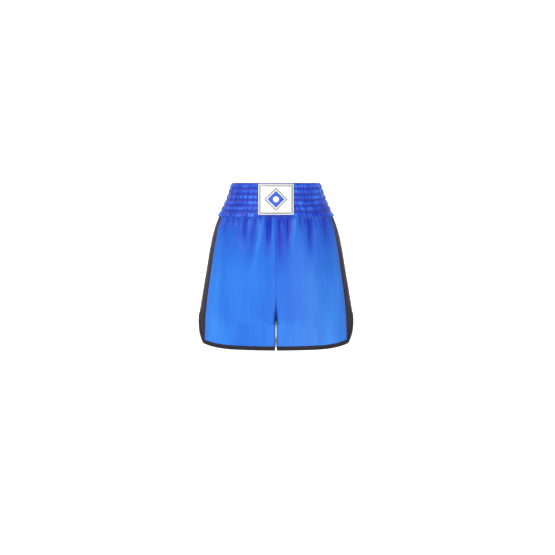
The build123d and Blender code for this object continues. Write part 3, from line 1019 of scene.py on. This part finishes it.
def make_binding(hand, prefix):
    length = distance_along(EDGE_PATH)
    ripple = value_noise(81 + hand, length / 5.0, length * 0, 400)
    rows = []
    for depth, off in TAPE_SECTION:
        at = EDGE_PATH + EDGE_INWARD * (depth + 0.25 * ripple * (depth > 5))[:, None]
        rows.append(cloth_points(at[:, 0], at[:, 1], hand, off)[0])
    across = np.arange(len(TAPE_SECTION) + 1) * 2.2
    uv = np.stack(np.broadcast_arrays(across[None, :], length[:, None]), axis=-1)
    piece = Piece(f"{prefix}_hem_binding_tape")
    piece.grid(np.transpose(np.array(rows), (1, 0, 2)), uv, wrap=True, flip=hand == RIGHT)
    return piece.build(TAPE)


def stitch_cloth(piece, q, z, hand, off, *sizes, **more):
    """A row of stitches on the cloth of a leg; sizes are the length, gap and radius of dashes."""
    path = cloth_points(q, z, hand, off)[0]
    dashes(piece, path, cloth_points(q, z, hand, off + 1.0)[0] - path, *sizes, **more)


def make_hem_stitches(hand, prefix):
    piece = Piece(f"{prefix}_hem_stitches")
    at = EDGE_PATH + EDGE_INWARD * TAPE_STITCH_IN
    stitch_cloth(piece, at[:, 0], at[:, 1], hand, TAPE_STITCH_OFF, 2.3, 0.8, 0.2)
    return piece.build(BLACK_THREAD)


# Panels and side bands

CLOTH_TOP = -79.4
CLOTH_EDGE = 3.2  # the cloth ends this far inside the fold of the tape
PANEL_COLUMNS, PANEL_ROWS = 186, 190
SEAM_HEIGHTS = np.arange(-76.0, -400.0, -4.0)
SEAM_Q = {side: q_at_depth(side, band_half(SEAM_HEIGHTS), SEAM_HEIGHTS) for side in (FRONT, BACK)}


def seam_q(side, z):
    """q of the seam between a panel and the side band."""
    return np.interp(-np.asarray(z, float), -SEAM_HEIGHTS, SEAM_Q[side])


def hem_z_at(side, q):
    """Height at which the cloth of a panel ends, for a given q near the hem."""
    path = EDGE[side]
    along = np.abs(path[:, 0])
    order = np.argsort(along)
    return np.interp(np.abs(q), along[order], path[order, 1]) + CLOTH_EDGE


def tuck_in(points, q, z, hand, from_seam, depth, reach):
    """Sinks the cloth next to a seam."""
    normal = surface_normal(q, z)
    normal[..., 0] *= hand
    return points - normal * (depth * np.exp(-((from_seam / reach) ** 2)))[..., None]


def make_panel(hand, side, name):
    """The outer cloth from the centre to the side band, and the flat beside the inseam."""
    piece = Piece(name)
    c = np.linspace(0.0, 1.0, PANEL_COLUMNS)
    c = c - 0.45 * c * (1.0 - c)  # columns are closer at the centre seam
    t = np.linspace(0.0, 1.0, PANEL_ROWS) ** 0.92
    centre, corner = side * float(girth(side, HEM)), float(seam_q(side, CORNER_Z))
    bottom = hem_z_at(side, centre + c * (corner - centre))
    z = CLOTH_TOP + (bottom[None, :] - CLOTH_TOP) * t[:, None]
    centre, seam = side * girth(side, z), seam_q(side, z)
    q = centre + c[None, :] * (seam - side * 0.4 - centre)
    points, amount = cloth_points(q, z, hand)
    points = tuck_in(points, q, z, hand, (1.0 - c[None, :]) * np.abs(seam - centre), 0.7, 1.1)
    uv = np.stack([np.abs(q), z], axis=-1)
    # The lift attribute paints shade in the fold valleys and under the crowded gathers near the waist, and
    # highlight on the ridges
    piece.grid(points, uv, shade_lifts=painted_shade_value(points, amount), flip=(side == FRONT) == (hand == LEFT))
    first = int(np.argmax(z[:, 0] < CROTCH)) - 1
    q = side * (girth(side, z[first:, 0])[:, None] + np.linspace(0.0, 1.0, 9)[None, :] * INNER_FLAT)
    z = np.broadcast_to(z[first:, :1], q.shape)
    flat, amount = cloth_points(q, z, hand)
    flat[0] = points[first, 0]
    flat[:, 0] = points[first:, 0]
    uv = np.stack([np.abs(q), z], axis=-1)
    piece.grid(flat, uv, shade_lifts=amount, flip=(side == FRONT) != (hand == LEFT))
    return piece.build(BLUE, merge=0.002, thickness=0.35)


def make_side_band(hand, prefix):
    """Front and back half of the band, one piece above the vent."""
    piece = Piece(f"{prefix}_side_band_cloth")
    above, below, bottom = VENT_TOP + 2.2, VENT_TOP + 4, CORNER_Z + CLOTH_EDGE + 2.0
    rows = np.concatenate([np.linspace(CLOTH_TOP, below, 130)[:-1], np.linspace(below, bottom, 70)])
    c = np.linspace(0.0, 1.0, 22)
    for side in (FRONT, BACK):
        flap = EDGE[side][EDGE[side][:, 1] > CORNER_Z + 1][::-1]
        vent = np.interp(-rows, -flap[:, 1], flap[:, 0])
        inner = np.where(rows > above, 0.0, vent + side * CLOTH_EDGE * 0.8)
        seam = seam_q(side, rows) + side * 0.2
        inner = np.where(np.abs(inner) > np.abs(seam) - 1.0, seam - side * 1.0, inner)
        q = inner[:, None] + c[None, :] * (seam - inner)[:, None]
        q[:, 0] = np.where(rows > above, 0.0, q[:, 0])
        q = q + side * 1e-6  # keeps the side line itself in this half
        z = np.broadcast_to(rows[:, None], q.shape)
        points, amount = cloth_points(q, z, hand)
        from_seam = (1.0 - c[None, :]) * np.abs(seam - inner)[:, None]
        points = tuck_in(points, q, z, hand, from_seam, 0.2, 0.9)
        uv = np.stack([q, z], axis=-1)
        # The lift attribute paints shade in the black band's folds and highlight on its ridges
        piece.grid(points, uv, shade_lifts=amount, flip=(side == BACK) == (hand == LEFT))
    return piece.build(BLACK, merge=0.002, thickness=0.35)


def make_seam_stitches(hand, prefix):
    """Edge stitching on the side band, along both of its seams."""
    piece = Piece(f"{prefix}_side_band_stitches")
    z = np.linspace(WAIST - 1.0, -376.0, 330)
    for side in (FRONT, BACK):
        stitch_cloth(piece, seam_q(side, z) - side * 1.8, z, hand, 0.1, 2.3, 0.8, 0.18)
    return piece.build(BLACK_THREAD)


def make_tack(hand, prefix):
    """Close zigzag of thread across the top of the vent."""
    piece = Piece(f"{prefix}_vent_tack_stitches")
    foot = VENT_TOP + TAPE_WIDTH + 4.0
    q, lean = np.linspace(-2.3, 2.3, 14), np.linspace(-0.3, 0.3, 14)
    for i in range(18):
        z = np.full(14, foot + i * 0.62) + lean * (1 if i % 2 else -1)
        stitch_cloth(piece, q, z, hand, 0.35, 4.4, 0.1, 0.3, sink=0.15)
    return piece.build(BLACK_THREAD)


def make_waist_seam():
    """Stitches just above the waist seam, through the band's lowest channel edge."""
    piece = Piece("waist_seam_stitches")
    share = np.linspace(0, 1, 1800)
    z = np.full(share.shape, WAIST + 2.4)
    points, normals = band_section(z, round_waist(share))
    path = points + normals * (band_relief(share, z) + STITCH_OUT)[:, None]
    dashes(piece, path, normals, 2.6, 0.9, 0.2)
    return piece.build(NAVY_THREAD)


# Build, and attach the waist's pieces to the hips

NAMES = {LEFT: "left", RIGHT: "right"}
# Side, word in the name, flat size and cut area
PANELS = ((FRONT, "front", (0.283, 0.318), 0.079), (BACK, "back", (0.294, 0.318), 0.082))


def swings(obj):
    """Bakes the piece's placement into its mesh; it is not attached to a body."""
    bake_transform(obj)


waistband = make_waistband()
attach(waistband, "hips")
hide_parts("waistband_casing")

for number, row in enumerate(make_shirring(), start=1):
    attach(row, "hips")
    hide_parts(f"shirring_row_{number}")

patch, border, emblem, label_stitches = make_label()
for piece, node in ((patch, "label_patch"), (border, "label_border"), (emblem, "label_emblem")):
    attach(piece, "hips")
    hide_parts(node)
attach(label_stitches, "hips")

care = make_care_label()
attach(care, "hips")
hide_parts("care_label")

waist_seam = make_waist_seam()
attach(waist_seam, "hips")

for hand, prefix in NAMES.items():
    for side, word, flat, area in PANELS:
        panel = make_panel(hand, side, f"{prefix}_{word}_panel_cloth")
        swings(panel)
        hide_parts(f"{prefix}_{word}_panel_hip", f"{prefix}_{word}_panel_leg")
    band = make_side_band(hand, prefix)
    swings(band)
    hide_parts(f"{prefix}_side_band_hip", f"{prefix}_side_band_leg")
    binding = make_binding(hand, prefix)
    swings(binding)
    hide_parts(f"{prefix}_hem_binding")
    for make in (make_hem_stitches, make_seam_stitches):
        stitches = make(hand, prefix)
        swings(stitches)
    tack = make_tack(hand, prefix)
    swings(tack)
    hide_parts(f"{prefix}_vent_tack")

for number in range(1, CHANNELS + 1):
    elastic = bpy.data.objects[f"elastic_{number}"]
    elastic.data.materials.clear()
    elastic.data.materials.append(ELASTIC)


# Studio

FLOOR, SWEEP_AT, SWEEP_RADIUS, SWEEP_REACH, SWEEP_TOP = -1050.0, 1400.0, 900.0, 9000.0, 5000.0


def make_stage():
    """A pale sweep: the floor, a curve and the wall behind. It glows a little, to stay white."""
    piece = Piece("studio_sweep")
    outline = [(-SWEEP_REACH, FLOOR), (SWEEP_AT, FLOOR)]
    for turn in np.linspace(0, math.pi / 2, 24)[1:]:
        y = SWEEP_AT + SWEEP_RADIUS * math.sin(turn)
        outline.append((y, FLOOR + SWEEP_RADIUS * (1 - math.cos(turn))))
    outline.append((SWEEP_AT + SWEEP_RADIUS, SWEEP_TOP))
    x = np.linspace(-SWEEP_REACH, SWEEP_REACH, 3)
    rows = [np.stack([x, np.full(3, y), np.full(3, z)], axis=-1) for y, z in outline]
    piece.grid(np.array(rows), flip=True)
    nodes = Nodes("studio_white", 0.9, 0.1)
    nodes.colour(grey(0.95))
    nodes.put(nodes.shader.inputs["Emission Color"], grey(1.0))
    nodes.put(nodes.shader.inputs["Emission Strength"], 0.45)
    piece.build(nodes.material)


def place(name, data, location, target):
    """A light or camera at a location, turned to the target."""
    obj = bpy.data.objects.new(name, data)
    obj.location = location
    obj.rotation_euler = (Vector(target) - obj.location).to_track_quat("-Z", "Y").to_euler()
    bpy.context.scene.collection.objects.link(obj)
    return obj


def area_light(name, location, size, power):
    data = bpy.data.lights.new(name, "AREA")
    data.shape = "RECTANGLE"
    data.size, data.size_y = size
    data.energy = power
    place(name, data, location, (0, 0, -0.2))


make_stage()
area_light("key", (-1.5, -2.2, 1.5), (1.3, 1.3), 52.0)
area_light("fill", (1.6, -2.6, -0.3), (1.6, 1.6), 20.0)
area_light("top", (0.0, -0.4, 2.2), (1.8, 1.2), 12.0)

scene = bpy.context.scene
world = bpy.data.worlds.new("studio_world")
world.use_nodes = True
background = world.node_tree.nodes["Background"].inputs
background["Color"].default_value = grey(1.0)
background["Strength"].default_value = 0.4
scene.world = world
scene.view_settings.view_transform = "Standard"
scene.view_settings.look = "None"

camera_data = bpy.data.cameras.new("camera")
camera_data.sensor_width = 36.0
camera_data.lens = 80.0
scene.camera = place("camera", camera_data, (0.0036, -3.0, 0.0015), (0.0036, 0.0, -0.2305))
